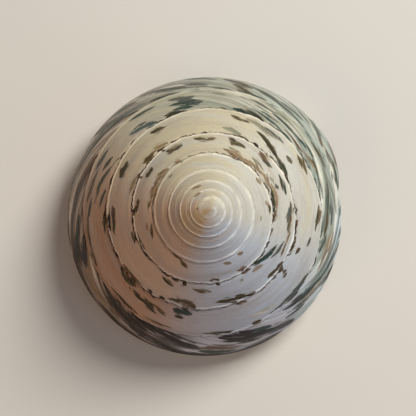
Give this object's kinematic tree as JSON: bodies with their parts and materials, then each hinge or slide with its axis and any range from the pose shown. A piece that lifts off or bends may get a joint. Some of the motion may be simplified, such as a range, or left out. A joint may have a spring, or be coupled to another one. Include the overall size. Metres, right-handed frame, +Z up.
{
  "type": "top shell",
  "caption": "Empty sea snail shell: a domed cone of pearly whorls with blotched streaks, wavy seams, a flat base with a hollow beside the pillar, and a slanting mouth",
  "frame": {"origin": "centre of the shell's bounding box in X and Y, on the ground it stands on", "axes": "+Z is up, with the spire at the top; the mouth opens at +X, facing -Y; the spire leans about 8 degrees toward -X -Y because the shell stands on its lip and the far side of its base"},
  "size_m": [0.054, 0.0528, 0.039],
  "materials": {
    "nacre": "polished"
  },
  "bodies": {
    "root": {"shell": "nacre"}
  },
  "joints": []
}
